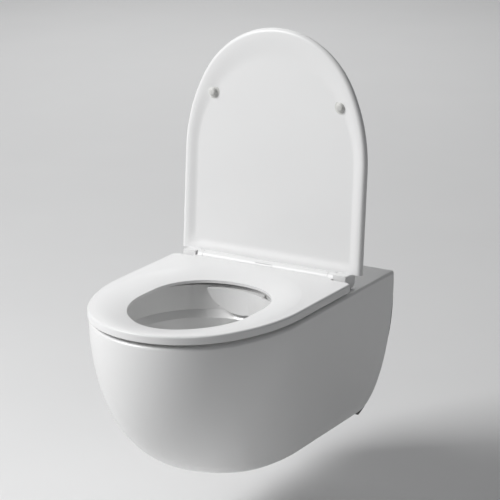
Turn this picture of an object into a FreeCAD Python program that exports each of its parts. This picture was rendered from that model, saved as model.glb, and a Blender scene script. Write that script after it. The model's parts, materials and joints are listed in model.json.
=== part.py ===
"""A rimless wall hung toilet with a slim, quick release, soft close seat and lid.

Frame: +Z up, -Y towards the user, +X to the right when looking at the wall.  The origin is the
middle of the two wall fixing holes, on the wall plane.  Millimetres.  At rest the seat lies on the
pan and the lid stands open.
"""
import FreeCAD, Part
import math
import os

import Sketcher

from FreeCAD import Placement, Rotation, Vector

DOC_NAME = "wall_hung_toilet"
SHEET_NAME = "Sizes"

# ---------------------------------------------------------------- driving dimensions
# Every length is in millimetres and every angle in degrees.
SIZES = {
    # wall side
    "fixing_spacing": 180.0,     # between the two M12 wall studs
    "fixing_drop": 80.0,         # rim top above the studs
    "stud_hole_radius": 6.5,
    "inlet_drop": 45.0,          # flush inlet centre below the rim
    "inlet_radius": 27.5,
    "inlet_depth": 45.0,
    "inlet_wall": 10.0,
    "inlet_shelf": 8.0,          # of the boss beyond the end of the inlet's bore
    "outlet_drop": 180.0,        # waste outlet centre below the rim
    "outlet_radius": 51.0,
    "outlet_depth": 40.0,
    "outlet_wall": 9.0,
    "outlet_throat": 6.0,        # solid length left at the inner end of the outlet's bore
    "pad_thickness": 3.0,
    "pad_inset": 3.0,
    "pad_shoulder": 45.0,        # upright part of the sheet's sides
    "pad_upper_bend": 420.0,     # radii of its sides
    "pad_lower_bend": 260.0,
    "pad_foot_margin": 18.0,     # its foot beyond the flat underside
    "pad_inlet_gap": 13.0,       # its holes round the two connections
    "pad_outlet_gap": 8.0,
    "pad_window": 25.0,          # half width of its windows for the brackets
    "pad_window_low": 14.0,
    "pad_window_high": 20.0,
    # pan
    "projection": 540.0,         # front of the seat to the wall
    "half_width": 180.0,         # of the seat and of the pan's rim
    "straight_side": 320.0,      # where the side starts to curve round to the front
    "nose_ease": 15.0,           # half width less the radius of the round front
    "pan_reveal": 2.0,           # how far the pan stays inside the seat's outline
    "pan_depth": 285.0,
    "foot_half_width": 88.0,     # the flat underside
    "foot_length": 300.0,
    "front_roundness": 2.15,     # exponents of the two profile curves
    "side_roundness": 1.85,
    "china_wall": 11.0,
    "deck_thickness": 15.0,
    "rim_edge_radius": 5.0,
    # bowl
    "bowl_centre": 352.0,        # from the wall to the widest place
    "bowl_half_width": 138.0,
    "bowl_front": 152.0,         # from the widest place to the front
    "bowl_rear": 142.0,
    "band_height": 44.0,         # upright band under the rim
    "ledge_width": 9.0,
    "ledge_drop": 12.0,
    "bowl_wall": 9.0,
    "bowl_lag": 5.0,             # how much lower the outside of the bowl lies
    "trap_radius": 31.0,
    "trap_wall": 9.0,
    "trap_bend": 44.0,
    "weir_drop": 130.0,
    "dip_drop": 240.0,
    "sump_centre": 262.0,
    "dip_end": 215.0,            # corners of the trapway, from the wall
    "weir_start": 150.0,
    "weir_end": 92.0,
    "drop_end": 58.0,
    "flush_tube_radius": 21.0,
    "flush_tube_wall": 11.0,
    "flush_tube_end": 205.0,
    "web_inner": 60.0,           # china webs that the fixing prongs pass through
    "web_outer": 120.0,
    "web_front": 52.0,
    "web_thickness": 12.0,
    "web_drop": 68.0,
    "prong_radius": 11.5,
    "prong_clearance": 0.5,
    "prong_overhang": 14.0,      # of the prong beyond the web
    "visor_radius": 57.0,        # round lower edge of the shield in front of the flush outlet
    "visor_rise": 11.0,          # its centre above the rim
    "visor_bend": 120.0,         # plan radius of its rear face
    "visor_centre": 335.0,       # plan centre from the wall
    "visor_thickness": 8.0,
    "visor_drop": 60.0,
    "visor_top_gap": 2.0,        # its top below the rim
    "visor_reach": 260.0,
    "visor_roof_reach": 240.0,
    "visor_roof_inset": 5.0,
    "visor_rear": 210.0,
    "chamber_half_width": 45.0,
    "chamber_back": 189.0,
    "chamber_roof": 9.0,
    "chamber_foot": 38.0,
    "chamber_depth": 38.0,
    "chamber_wall": 9.0,
    "chamber_floor": 8.0,
    "chamber_block_depth": 30.0,
    "dowel_boss_wall": 7.0,
    "dowel_boss_drop": 8.0,
    "prong_rise": 26.0,          # prong above the wall stud
    "bracket_plate": 10.0,
    "bracket_width": 44.0,
    "bracket_height": 52.0,
    "bracket_drop": 12.0,        # its lower edge below the stud
    "cross_screw_radius": 4.0,
    "cross_tail": 8.0,           # screw below the prong
    "cross_point": 6.0,          # and above it
    "cross_head": 5.0,
    "cross_head_step": 3.0,
    # seat
    "seat_gap": 6.0,             # seat underside above the rim
    "seat_thickness": 14.0,
    "seat_edge_radius": 3.5,
    "seat_foot_radius": 1.5,
    "opening_half_width": 107.5,
    "opening_side_front": 355.0,  # the opening's short straight sides end here
    "opening_side_rear": 318.0,
    "opening_front": 127.0,      # and this far beyond them it ends
    "opening_rear": 97.0,
    "opening_front_radius": 80.0,
    "opening_rear_radius": 140.0,
    "dish_width": 50.0,          # the seat's top falls towards the opening
    "dish_depth": 9.0,
    "seat_corner_radius": 11.0,
    # lid
    "buffer_gap": 2.8,           # closed lid above the seat
    "lid_thickness": 10.5,
    "lid_overhang": 1.3,         # lid's top outline beyond the seat, at the sides
    "lid_front_overhang": 5.0,
    "lid_taper": 7.0,            # how far the lid's underside stays inside its top
    "lid_edge_radius": 3.0,
    "field_rear_offset": 34.0,   # in front of the axis
    "field_inset": 21.0,
    "field_slope": 9.0,
    "field_depth": 1.4,
    "open_angle": 95.5,
    # hinge
    "axis_from_wall": 134.0,
    "axis_height": 16.0,         # above the rim
    "barrel_radius": 11.0,
    "bar_half_length": 126.0,
    "bar_back": 19.0,            # housing behind the axis
    "bar_shoulder": 8.2,         # housing shoulder above the axis
    "bar_wall": 2.2,
    "bar_base_thickness": 2.0,
    "cradle_far": 29.0,          # the dampers' cradles, from the housing's end wall
    "cradle_near": 12.0,
    "cradle_thickness": 3.0,
    "cradle_rise": 6.0,          # their foot above the rim
    "knuckle_width": 12.0,
    "knuckle_low": 8.5,          # flats of the knuckles below and above the axis
    "knuckle_high": 4.0,
    "hinge_gap": 0.6,            # end gap between turning pieces
    "ear_radius": 13.5,
    "ear_front": 12.0,
    "ear_chin": 9.8,
    "ear_root": 24.0,
    "ear_back": 9.0,
    "seat_rear_offset": 12.2,    # seat's rear edge in front of the axis, along the bar
    "seat_ear_offset": 17.6,     # and in front of the lid's ears
    "lid_rear_offset": 9.6,      # lid's rear edge in front of the axis, along the bar
    "pin_radius": 4.0,
    "pin_clearance": 0.08,
    "bush_radius": 6.0,
    "damper_radius": 7.5,
    "damper_length": 36.0,
    "damper_core": 8.0,          # solid inner end
    "shaft_inset": 13.0,         # the shafts' ends inside the ears' outer faces
    "shaft_end_gap": 2.0,
    # quick release
    "post_spacing": 155.0,
    "post_from_axis": -4.0,      # post centre in front of the axis
    "post_radius": 7.5,
    "post_height": 20.0,
    "neck_radius": 6.0,
    "post_bore_radius": 4.5,
    "post_bore_floor": 6.0,      # above the rim
    "flange_radius": 12.4,
    "flange_thickness": 2.5,
    "gasket_thickness": 1.0,
    "latch_height": 8.0,         # underside of the latches above the rim
    "latch_thickness": 2.5,
    "latch_width": 11.0,
    "latch_pin_radius": 1.5,
    "latch_pin_x": 11.0,
    "latch_pin_setback": 2.0,    # behind the axis
    "latch_pin_rise": 3.5,       # above the latch
    "latch_inner": 6.0,
    "latch_bite": 2.2,           # of the hollow end past the neck's inner side
    "latch_travel": 1.6,
    "button_width": 34.0,
    "button_travel": 3.0,
    "button_gap": 0.4,
    "button_rise": 11.0,         # its underside above the rim
    "button_top": 6.9,           # its top above the axis
    "button_top_gap": 0.7,
    "button_back": 5.0,          # behind the axis
    "button_step": 2.0,          # the step in its top, in front of the axis
    "button_step_rise": 4.4,
    "slot_depth": 4.5,
    "slot_gap": 0.06,
    "slot_end_gap": 0.2,
    "spring_rise": 15.0,         # spring's centre line above the rim
    "spring_radius": 3.0,
    "spring_wire": 0.5,
    "spring_pitch": 2.1,
    "screw_radius": 2.5,
    "screw_head_radius": 4.3,
    "screw_head": 3.5,
    "screw_gap": 0.1,            # between the screw and the holes it passes
    "screw_length": 52.0,
    "nut_radius": 6.5,
    "nut_height": 8.0,
    "dowel_radius": 7.7,
    "dowel_length": 34.0,
    "hinge_hole_radius": 8.0,
    # buffers
    "seat_buffer_radius": 7.0,
    "lid_buffer_radius": 6.5,
    "buffer_clearance": 0.3,
    "buffer_edge_radius": 1.2,
    "front_buffer_x": 62.0,
    "front_buffer_inset": 32.0,  # inside the seat's outline
    "rear_buffer_inset": 22.0,
    "rear_buffer_y": 215.0,      # from the wall
    "lid_buffer_inset": 53.0,
    "lid_buffer_setback": 116.0,  # behind the seat's front
}


# ---------------------------------------------------------------- sizes with expressions
class Size:
    """A number together with the sheet expression that gives it."""

    def __init__(self, value, text):
        self.value = float(value)
        self.text = text

    @staticmethod
    def of(other):
        if isinstance(other, Size):
            return other
        return Size(other, repr(float(other)))

    def __add__(self, other):
        other = Size.of(other)
        return Size(self.value + other.value, f"({self.text} + {other.text})")

    def __sub__(self, other):
        other = Size.of(other)
        return Size(self.value - other.value, f"({self.text} - {other.text})")

    def __mul__(self, other):
        other = Size.of(other)
        return Size(self.value * other.value, f"({self.text} * {other.text})")

    def __truediv__(self, other):
        other = Size.of(other)
        return Size(self.value / other.value, f"({self.text} / {other.text})")

    def __pow__(self, other):
        other = Size.of(other)
        return Size(self.value ** other.value, f"({self.text} ^ {other.text})")

    def __radd__(self, other):
        return Size.of(other) + self

    def __rsub__(self, other):
        return Size.of(other) - self

    def __rmul__(self, other):
        return Size.of(other) * self

    def __rtruediv__(self, other):
        return Size.of(other) / self

    def __neg__(self):
        return Size(-self.value, f"(0 - {self.text})")

    def __float__(self):
        return self.value


class Dimensions:
    """Attribute access to the sheet's aliases."""

    def __init__(self, values):
        for alias, value in values.items():
            setattr(self, alias, Size(value, f"{SHEET_NAME}.{alias}"))


doc = FreeCAD.newDocument(DOC_NAME)
sheet = doc.addObject("Spreadsheet::Sheet", SHEET_NAME)
for row, (alias, value) in enumerate(SIZES.items(), start=1):
    sheet.set(f"A{row}", alias)
    sheet.set(f"B{row}", str(value))
    sheet.setAlias(f"B{row}", alias)
doc.recompute()
d = Dimensions(SIZES)


def derive(alias, size):
    """Keep a worked-out size as one more cell of the sheet."""
    row = len(sheet.getUsedCells()) // 2 + 1
    sheet.set(f"A{row}", alias)
    sheet.set(f"B{row}", "=" + size.text.replace(f"{SHEET_NAME}.", ""))
    sheet.setAlias(f"B{row}", alias)
    return Size(size.value, f"{SHEET_NAME}.{alias}")


# ---------------------------------------------------------------- derived places
rim_z = d.fixing_drop
axis_y = -d.axis_from_wall
axis_z = rim_z + d.axis_height
seat_bottom_z = rim_z + d.seat_gap
seat_top_z = seat_bottom_z + d.seat_thickness
lid_bottom_z = seat_top_z + d.buffer_gap
lid_top_z = lid_bottom_z + d.lid_thickness
knuckle_inner = d.bar_half_length + d.hinge_gap
knuckle_outer = knuckle_inner + d.knuckle_width
ear_inner = knuckle_outer + d.hinge_gap
post_x = d.post_spacing / 2
post_y = axis_y - d.post_from_axis
nose_radius = d.half_width - d.nose_ease
cross_y = -(d.web_front + d.cross_screw_radius + d.screw_gap)
ear_outer = d.half_width + d.lid_overhang - d.lid_taper
shaft_end = ear_outer - d.shaft_inset
ear_bore_end = shaft_end + d.shaft_end_gap
button_low = rim_z + d.button_rise
button_high = axis_z + d.button_top
pin_y = axis_y + d.latch_pin_setback
spring_z = rim_z + d.spring_rise


# ---------------------------------------------------------------- sketches and features
CCW = 1
CW = -1
CUT_PAST = 5  # how far a cut runs on past the surface that it opens


def new_body(name):
    body = doc.addObject("PartDesign::Body", name)
    body.Label = name
    return body


def new_sketch(body, name, role, offset=None):
    """A sketch on one of the body's own origin planes, moved along the plane's normal."""
    sketch = body.newObject("Sketcher::SketchObject", name)
    plane = [item for item in body.Origin.OriginFeatures if item.Role == role][0]
    sketch.AttachmentSupport = (plane, [""])
    sketch.MapMode = "FlatFace"
    if offset is not None:
        sketch.setExpression("AttachmentOffset.Base.z", Size.of(offset).text)
    return sketch


def arc_geometry(start, end, radius, turn):
    """The arc of less than half a circle from start to end; turn is CCW or CW."""
    chord = end - start
    rise = math.sqrt(max(radius ** 2 - (chord.Length / 2) ** 2, 0.0))
    left = Vector(-chord.y, chord.x, 0).normalize()
    centre = (start + end) / 2 + left * rise * turn
    first, last = (start, end) if turn == CCW else (end, start)
    angles = [math.atan2(point.y - centre.y, point.x - centre.x) for point in (first, last)]
    circle = Part.Circle(centre, Vector(0, 0, 1), radius)
    return Part.ArcOfCircle(circle, angles[0], angles[1])


def constrain(sketch, kind, geometry, point, size):
    """One coordinate of a point, or a radius, bound to its expression."""
    if kind == "Radius":
        index = sketch.addConstraint(Sketcher.Constraint("Radius", geometry, size.value))
    elif isinstance(size, Size) is False or size.text == "0.0":
        axis = -2 if kind == "DistanceX" else -1
        sketch.addConstraint(Sketcher.Constraint("PointOnObject", geometry, point, axis))
        return
    else:
        index = sketch.addConstraint(
            Sketcher.Constraint(kind, -1, 1, geometry, point, size.value))
    sketch.setExpression(f"Constraints[{index}]", size.text)


def draw_loop(sketch, points, arcs=None):
    """A closed loop through the points; arcs maps an edge's number to (radius, turn)."""
    arcs = arcs or {}
    places = [Vector(float(x), float(y), 0) for x, y in points]
    edges = []
    for number, start in enumerate(places):
        end = places[(number + 1) % len(places)]
        if number in arcs:
            radius, turn = arcs[number]
            curve = arc_geometry(start, end, radius.value, turn)
            first, last = (1, 2) if turn == CCW else (2, 1)
        else:
            curve = Part.LineSegment(start, end)
            first, last = 1, 2
        edges.append((sketch.addGeometry(curve, False), first, last))
    for number, (geometry, first, last) in enumerate(edges):
        following, next_first, _ = edges[(number + 1) % len(edges)]
        sketch.addConstraint(
            Sketcher.Constraint("Coincident", geometry, last, following, next_first))
    for number, (geometry, first, last) in enumerate(edges):
        x, y = points[number]
        constrain(sketch, "DistanceX", geometry, first, x)
        constrain(sketch, "DistanceY", geometry, first, y)
        if number in arcs:
            constrain(sketch, "Radius", geometry, None, arcs[number][0])


def draw_circle(sketch, x, y, radius):
    circle = Part.Circle(Vector(float(x), float(y), 0), Vector(0, 0, 1), float(radius))
    geometry = sketch.addGeometry(circle, False)
    constrain(sketch, "DistanceX", geometry, 3, x)
    constrain(sketch, "DistanceY", geometry, 3, y)
    constrain(sketch, "Radius", geometry, None, Size.of(radius))


def draw_rectangle(sketch, low_x, low_y, high_x, high_y):
    draw_loop(sketch, [(low_x, low_y), (high_x, low_y), (high_x, high_y), (low_x, high_y)])


def feature(body, kind, name, sketch, **links):
    item = body.newObject(f"PartDesign::{kind}", name)
    item.Profile = sketch
    for key, value in links.items():
        setattr(item, key, value)
    return item


def pad(body, name, sketch, length, reverse=False):
    item = feature(body, "Pad", name, sketch, Reversed=reverse)
    item.setExpression("Length", Size.of(length).text)
    return item


def pocket(body, name, sketch, length, reverse=False):
    item = feature(body, "Pocket", name, sketch, Reversed=reverse)
    item.setExpression("Length", Size.of(length).text)
    return item


def loft(body, name, sketches, subtract=False, ruled=False):
    kind = "SubtractiveLoft" if subtract else "AdditiveLoft"
    return feature(body, kind, name, sketches[0], Sections=sketches[1:], Ruled=ruled)


def pipe(body, name, profile, spine, subtract=False):
    kind = "SubtractivePipe" if subtract else "AdditivePipe"
    item = body.newObject(f"PartDesign::{kind}", name)
    item.Profile = profile
    item.Spine = spine
    return item


def edges_where(shape, test):
    return [f"Edge{number}" for number, edge in enumerate(shape.Edges, start=1) if test(edge)]


def fillet(body, name, base, names, radius):
    item = body.newObject("PartDesign::Fillet", name)
    item.Base = (base, names)
    item.setExpression("Radius", Size.of(radius).text)
    return item


# ---------------------------------------------------------------- Part primitives
SOCKET_SHARE = 0.53  # a hexagon socket's corner radius against the screw head's radius
AXIS_TURN = {
    "X": Rotation(Vector(0, 1, 0), 90),
    "Y": Rotation(Vector(1, 0, 0), -90),
    "Z": Rotation(),
}


def place(item, x, y, z):
    for axis, size in (("x", x), ("y", y), ("z", z)):
        item.setExpression(f"Placement.Base.{axis}", Size.of(size).text)


def cylinder(name, radius, height, x, y, z, axis="Z"):
    """A cylinder that starts at a point and runs along +X, +Y or +Z."""
    item = doc.addObject("Part::Cylinder", name)
    item.setExpression("Radius", Size.of(radius).text)
    item.setExpression("Height", Size.of(height).text)
    item.Placement = Placement(Vector(), AXIS_TURN[axis])
    place(item, x, y, z)
    return item


def box(name, length, width, height, x, y, z):
    item = doc.addObject("Part::Box", name)
    item.setExpression("Length", Size.of(length).text)
    item.setExpression("Width", Size.of(width).text)
    item.setExpression("Height", Size.of(height).text)
    place(item, x, y, z)
    return item


def fuse(name, items):
    item = doc.addObject("Part::MultiFuse", name)
    item.Shapes = items
    return item


def cut(name, base, tools):
    """base less the tools."""
    item = doc.addObject("Part::Cut", name)
    item.Base = base
    item.Tool = tools[0] if len(tools) == 1 else fuse(name + "_tools", tools)
    return item


NODES = {}
SIDES = ((-1, "left"), (1, "right"))


def node(name, item):
    """Name a finished sub-part; its label is also its file's name."""
    item.Label = name
    NODES[name] = item
    return item


# ---------------------------------------------------------------- outlines
def shoulder_of(half_width, length, nose):
    """Radius of the arc that is tangent to the straight side and to the nose arc, and the
    point where the two arcs meet, as distances from the centre line and from the side's end."""
    lead = length - nose
    side = (half_width ** 2 + lead ** 2 - nose ** 2) / (2 * (half_width - nose))
    meet_x = (side - half_width) * nose / (side - nose)
    meet_y = side * lead / (side - nose)
    return side, meet_x, meet_y


def d_outline(half_width, length, straight, nose, back):
    """Plan outline with straight sides and a round front; distances run forward from the wall."""
    side, meet_x, meet_y = shoulder_of(half_width, length - straight, nose)
    meet_y = -(straight + meet_y)
    points = [
        (half_width, -back), (half_width, -straight), (meet_x, meet_y),
        (-meet_x, meet_y), (-half_width, -straight), (-half_width, -back),
    ]
    return points, {1: (side, CW), 2: (nose, CW), 3: (side, CW)}


def oval_outline(centre, half_width, front, front_nose, rear, rear_nose, grow):
    """Egg outline about a widest place, grown evenly by an amount."""
    half_width = half_width + grow
    front_side, front_x, front_y = shoulder_of(half_width, front + grow, front_nose + grow)
    rear_side, rear_x, rear_y = shoulder_of(half_width, rear + grow, rear_nose + grow)
    low = -(centre + front_y)
    high = rear_y - centre
    points = [
        (half_width, -centre), (front_x, low), (-front_x, low),
        (-half_width, -centre), (-rear_x, high), (rear_x, high),
    ]
    arcs = {
        0: (front_side, CW), 1: (front_nose + grow, CW), 2: (front_side, CW),
        3: (rear_side, CW), 4: (rear_nose + grow, CW), 5: (rear_side, CW),
    }
    return points, arcs


def long_oval(half_width, side_front, side_rear, front, front_nose, rear, rear_nose, grow):
    """Egg outline with short straight sides, grown evenly by an amount."""
    half_width = half_width + grow
    front_side, front_x, front_y = shoulder_of(half_width, front + grow, front_nose + grow)
    rear_side, rear_x, rear_y = shoulder_of(half_width, rear + grow, rear_nose + grow)
    low = -(side_front + front_y)
    high = rear_y - side_rear
    points = [
        (half_width, -side_rear), (half_width, -side_front), (front_x, low), (-front_x, low),
        (-half_width, -side_front), (-half_width, -side_rear), (-rear_x, high), (rear_x, high),
    ]
    arcs = {
        1: (front_side, CW), 2: (front_nose + grow, CW), 3: (front_side, CW),
        5: (rear_side, CW), 6: (rear_nose + grow, CW), 7: (rear_side, CW),
    }
    return points, arcs


# ---------------------------------------------------------------- the pan
PAN_FRACTIONS = (0.0, 0.22, 0.44, 0.62, 0.77, 0.89, 0.97, 1.0)
CAVITY_FRACTIONS = (0.05, 0.22, 0.44, 0.62, 0.77, 0.89, 1.0)


def rounding(fraction, power):
    """Height to width rule of the pan's outside: 1 at the rim, 0 at the underside."""
    return (1 - fraction ** power) ** (1 / power)


def pan_section(sketch, fraction, inset, back):
    """The pan's plan outline at a fraction of its depth."""
    top_width = d.half_width - d.pan_reveal - inset
    top_length = d.projection - d.pan_reveal - inset
    foot_width = d.foot_half_width - inset
    foot_length = d.foot_length - inset
    widen = rounding(Size.of(fraction), d.side_roundness)
    lengthen = rounding(Size.of(fraction), d.front_roundness)
    half_width = foot_width + (top_width - foot_width) * widen
    length = foot_length + (top_length - foot_length) * lengthen
    straight = d.straight_side * length / d.projection
    nose = nose_radius * half_width / d.half_width
    draw_loop(sketch, *d_outline(half_width, length, straight, nose, back))


def pan_sections(body, prefix, fractions, depth, inset, back):
    sketches = []
    for number, fraction in enumerate(fractions):
        sketch = new_sketch(body, f"{prefix}_{number}", "XY_Plane", rim_z - depth * fraction)
        pan_section(sketch, fraction, inset, back)
        sketches.append(sketch)
    return sketches


BOWL_SECTIONS = (
    # drop below the rim, half width, front, rear (both from the wall), how round the ends are
    (110.0, 103.0, 452.0, 212.0, 0.80),
    (150.0, 76.0, 404.0, 208.0, 0.80),
    (185.0, 55.0, 352.0, 203.0, 0.82),
    (222.0, 42.0, 312.0, 210.0, 0.85),
    (252.0, 32.0, 300.0, 224.0, 0.90),
)


def bowl_oval(sketch, grow):
    """The bowl's plan outline at the rim, grown by an amount."""
    front_nose = d.bowl_half_width * 0.8
    rear_nose = d.bowl_half_width * 0.8
    draw_loop(sketch, *oval_outline(
        d.bowl_centre, d.bowl_half_width, d.bowl_front, front_nose,
        d.bowl_rear, rear_nose, grow))


def lower_bowl_oval(sketch, section, grow):
    drop, half_width, front, rear, roundness = section
    centre = Size.of((front + rear) / 2)
    reach = Size.of((front - rear) / 2)
    nose = Size.of(half_width * roundness)
    draw_loop(sketch, *oval_outline(
        centre, Size.of(half_width), reach, nose, reach, nose, grow))


def bowl_sections(body, prefix, band_top, grow, lag):
    """Sketches of the bowl from the top of its upright band down to the sump."""
    band_foot = rim_z - d.band_height - lag
    steps = (
        (band_top, grow),
        (band_foot, grow),
    )
    band = []
    for number, (height, amount) in enumerate(steps):
        sketch = new_sketch(body, f"{prefix}_band_{number}", "XY_Plane", height)
        bowl_oval(sketch, amount)
        band.append(sketch)
    ledge_foot = new_sketch(
        body, f"{prefix}_ledge_foot", "XY_Plane", band_foot - d.ledge_drop)
    bowl_oval(ledge_foot, grow - d.ledge_width)
    lower = [ledge_foot]
    for number, section in enumerate(BOWL_SECTIONS):
        sketch = new_sketch(
            body, f"{prefix}_{number}", "XY_Plane", rim_z - section[0] - lag)
        lower_bowl_oval(sketch, section, grow)
        lower.append(sketch)
    return band, lower


def rounded_corner(before, corner, after, radius, alias):
    """Where a bend of the given radius leaves the two straights that meet at a corner."""
    in_x, in_y = corner[0] - before[0], corner[1] - before[1]
    out_x, out_y = after[0] - corner[0], after[1] - corner[1]
    in_length = derive(alias + "_in", (in_x ** 2 + in_y ** 2) ** 0.5)
    out_length = derive(alias + "_out", (out_x ** 2 + out_y ** 2) ** 0.5)
    cosine = derive(alias + "_cos", (in_x * out_x + in_y * out_y) / (in_length * out_length))
    trim = derive(alias + "_trim", radius * ((1 - cosine) / (1 + cosine)) ** 0.5)
    start = (corner[0] - in_x * trim / in_length, corner[1] - in_y * trim / in_length)
    end = (corner[0] + out_x * trim / out_length, corner[1] + out_y * trim / out_length)
    turn = CCW if float(in_x) * float(out_y) > float(in_y) * float(out_x) else CW
    return start, end, turn


def draw_path(sketch, corners, radius, alias):
    """An open path of straights and equal bends through the corners."""
    stations = [(corners[0], None)]
    for number in range(1, len(corners) - 1):
        start, end, turn = rounded_corner(
            corners[number - 1], corners[number], corners[number + 1], radius,
            f"{alias}_{number}")
        stations.append((start, turn))
        stations.append((end, None))
    stations.append((corners[-1], None))
    places = [Vector(float(point[0]), float(point[1]), 0) for point, _ in stations]
    ends = []
    for number, (_, turn) in enumerate(stations[:-1]):
        if turn is None:
            curve = Part.LineSegment(places[number], places[number + 1])
            first, last = 1, 2
        else:
            curve = arc_geometry(places[number], places[number + 1], radius.value, turn)
            first, last = (1, 2) if turn == CCW else (2, 1)
        ends.append((sketch.addGeometry(curve, False), first, last))
    for (geometry, _, last), (following, first, _) in zip(ends, ends[1:]):
        sketch.addConstraint(
            Sketcher.Constraint("Coincident", geometry, last, following, first))
    for number, (point, turn) in enumerate(stations):
        geometry, first, last = ends[min(number, len(ends) - 1)]
        end = first if number < len(ends) else last
        constrain(sketch, "DistanceX", geometry, end, point[0])
        constrain(sketch, "DistanceY", geometry, end, point[1])
        if turn is not None:
            constrain(sketch, "Radius", geometry, None, radius)


def trap_spine(body, name, alias):
    """Course of the trapway from the sump, over the weir, to the outlet, in the YZ plane."""
    dip = rim_z - d.dip_drop
    weir = rim_z - d.weir_drop
    outlet = rim_z - d.outlet_drop
    corners = [
        (-d.sump_centre, dip), (-d.dip_end, dip), (-d.weir_start, weir),
        (-d.weir_end, weir), (-d.drop_end, outlet), (-d.pad_thickness, outlet),
    ]
    sketch = new_sketch(body, name, "YZ_Plane")
    draw_path(sketch, corners, d.trap_bend, alias)
    return sketch


def disc_sketch(body, name, from_wall, x, height, radius):
    """A circle that faces the wall, some way out from it."""
    sketch = new_sketch(body, name, "XZ_Plane", from_wall)
    draw_circle(sketch, x, height, radius)
    return sketch


def build_pan():
    body = new_body("ceramic_pan")
    wall = d.pad_thickness
    deck_under = rim_z - d.deck_thickness
    deck_middle = rim_z - d.deck_thickness / 2
    inlet_z = rim_z - d.inlet_drop
    outlet_z = rim_z - d.outlet_drop
    dip_z = rim_z - d.dip_drop
    outside = pan_sections(
        body, "pan_outline", PAN_FRACTIONS, d.pan_depth, Size.of(0), wall)
    loft(body, "pan_outside", outside)
    hollow = pan_sections(
        body, "pan_hollow", CAVITY_FRACTIONS, d.pan_depth - d.china_wall - 1,
        d.china_wall, Size.of(-CUT_PAST))
    loft(body, "pan_cavity", hollow, subtract=True)

    # outside of the bowl, the trapway and the two wall connections
    band, lower = bowl_sections(body, "shell", deck_middle, d.bowl_wall, d.bowl_lag)
    loft(body, "shell_band", band, ruled=True)
    loft(body, "shell_ledge", [band[1], lower[0]], ruled=True)
    loft(body, "shell_lower", lower)
    ring = disc_sketch(body, "trap_ring", d.sump_centre, Size.of(0), dip_z,
                       d.trap_radius + d.trap_wall)
    pipe(body, "trap_outside", ring, trap_spine(body, "trap_course", "bend"))
    spigot = disc_sketch(body, "spigot_ring", wall, Size.of(0), outlet_z, d.outlet_radius)
    pad(body, "spigot", spigot, d.outlet_depth)
    boss = disc_sketch(body, "inlet_ring", wall, Size.of(0), inlet_z, d.inlet_radius + d.inlet_wall)
    pad(body, "inlet_boss", boss, d.inlet_depth + d.inlet_shelf)
    tube = disc_sketch(body, "flush_ring", wall, Size.of(0), inlet_z,
                       d.flush_tube_radius + d.flush_tube_wall)
    pad(body, "flush_tube", tube, d.flush_tube_end - wall)
    chamber = new_sketch(
        body, "chamber_block_outline", "XZ_Plane", d.chamber_back - d.chamber_wall)
    half = d.chamber_half_width + d.chamber_wall
    draw_rectangle(
        chamber, -half, rim_z - d.chamber_foot - d.chamber_floor, half, deck_middle)
    pad(body, "chamber_block", chamber, d.chamber_block_depth)

    # webs for the fixings and bosses for the hinge dowels
    web = new_sketch(body, "web_outline", "XZ_Plane", d.web_front - d.web_thickness)
    for side in (-1, 1):
        draw_rectangle(web, d.web_inner * side, rim_z - d.web_drop,
                       d.web_outer * side, deck_middle)
        draw_circle(web, d.fixing_spacing / 2 * side, d.prong_rise,
                    d.prong_radius + d.prong_clearance)
    pad(body, "webs", web, d.web_thickness)
    dowel_boss = new_sketch(body, "dowel_boss_rings", "XY_Plane", deck_under - d.dowel_boss_drop)
    for side in (-1, 1):
        draw_circle(dowel_boss, post_x * side, post_y, d.hinge_hole_radius + d.dowel_boss_wall)
    pad(body, "dowel_bosses", dowel_boss, d.deck_thickness / 2 + d.dowel_boss_drop)

    # inside of the bowl and the passages
    band, lower = bowl_sections(body, "bowl", rim_z + CUT_PAST, Size.of(0), Size.of(0))
    loft(body, "bowl_band", band, subtract=True, ruled=True)
    loft(body, "bowl_ledge", [band[1], lower[0]], subtract=True, ruled=True)
    loft(body, "bowl_lower", lower, subtract=True)
    bore = disc_sketch(body, "trap_bore_ring", d.sump_centre, Size.of(0), dip_z, d.trap_radius)
    pipe(body, "trap_bore", bore, trap_spine(body, "trap_bore_course", "bore"), subtract=True)
    holes = (
        ("outlet_bore", outlet_z, d.outlet_radius - d.outlet_wall,
         d.outlet_depth - d.outlet_throat),
        ("inlet_bore", inlet_z, d.inlet_radius, d.inlet_depth),
        ("flush_bore", inlet_z, d.flush_tube_radius, d.chamber_back + CUT_PAST - wall),
    )
    for name, height, radius, depth in holes:
        circle = disc_sketch(body, name + "_ring", wall, Size.of(0), height, radius)
        pocket(body, name, circle, depth, reverse=True)
    chamber = new_sketch(body, "chamber_outline", "XZ_Plane", d.chamber_back)
    half = d.chamber_half_width
    draw_rectangle(chamber, -half, rim_z - d.chamber_foot, half, rim_z - d.chamber_roof)
    pocket(body, "chamber", chamber, d.chamber_depth, reverse=True)
    hinge_holes = new_sketch(body, "hinge_hole_rings", "XY_Plane", rim_z)
    for side in (-1, 1):
        draw_circle(hinge_holes, post_x * side, post_y, d.hinge_hole_radius)
    pocket(body, "hinge_holes", hinge_holes, d.deck_thickness + d.dowel_boss_drop + CUT_PAST)
    doc.recompute()

    # softened rim
    rim_edges = edges_where(body.Shape, on_rim)
    fillet(body, "rim_edge", body.Tip, rim_edges, d.rim_edge_radius)
    body.Label = "pan_casting"
    return node("ceramic_pan", fuse("pan_with_visor", [body, build_visor()]))


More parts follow.
